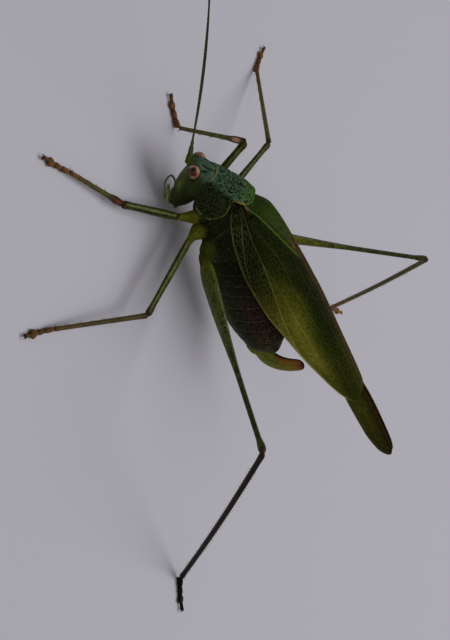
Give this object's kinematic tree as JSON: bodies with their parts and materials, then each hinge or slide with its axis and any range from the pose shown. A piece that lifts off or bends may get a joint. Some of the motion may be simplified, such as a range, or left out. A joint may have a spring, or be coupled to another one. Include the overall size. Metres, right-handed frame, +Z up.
{
  "type": "long-horned grasshopper",
  "caption": "Adult female long-horned grasshopper standing with splayed legs, head lowered, with folded leaf-like wings, long thin feelers and a short upcurved ovipositor.",
  "frame": {"origin": "the middle of the model's box, on the floor that the feet stand on", "axes": "+Z is up, the head points to -Y and the animal's left side is at +X"},
  "size_m": [0.047, 0.0726, 0.0178],
  "materials": {
    "head": "satin green cuticle, bluish at the crown and olive on the face",
    "eye": "glossy, pinkish brown with a darker centre",
    "antenna": "matt olive brown, finely ringed",
    "shield": "pitted green cuticle, finely speckled black",
    "body": "satin green cuticle, ringed and speckled",
    "wing": "leathery green with a raised net of veins",
    "ovipositor": "smooth, yellow green to orange brown",
    "leg": "satin green cuticle with dark dots and rows of small spines",
    "foot": "satin brown"
  },
  "bodies": {
    "root": {"head": "head", "eye_left": "eye", "eye_right": "eye", "mouthparts": "head", "maxillary_palp_left": "head", "maxillary_palp_right": "head", "labial_palp_left": "head", "labial_palp_right": "head", "pronotum": "shield", "subgenital_plate": "ovipositor", "cercus_left": "body", "cercus_right": "body", "ovipositor": "ovipositor", "tegmen_left": "wing", "tegmen_right": "wing", "thorax": "body", "abdomen": "body", "hind_wing_left": "wing", "hind_wing_right": "wing", "antenna_left_scape": "head", "antenna_left_1": "antenna", "antenna_left_2": "antenna", "antenna_left_3": "antenna", "antenna_right_scape": "head", "antenna_right_1": "antenna", "antenna_right_2": "antenna", "antenna_right_3": "antenna", "coxa_fore_left": "body", "femur_fore_left": "leg", "tibia_fore_left": "leg", "tarsus_fore_left": "foot", "coxa_mid_left": "body", "femur_mid_left": "leg", "tibia_mid_left": "leg", "tarsus_mid_left": "foot", "coxa_hind_left": "body", "femur_hind_left": "leg", "tibia_hind_left": "leg", "tarsus_hind_left": "foot", "coxa_fore_right": "body", "femur_fore_right": "leg", "tibia_fore_right": "leg", "tarsus_fore_right": "foot", "coxa_mid_right": "body", "femur_mid_right": "leg", "tibia_mid_right": "leg", "tarsus_mid_right": "foot", "coxa_hind_right": "body", "femur_hind_right": "leg", "tibia_hind_right": "leg", "tarsus_hind_right": "foot"}
  },
  "joints": []
}
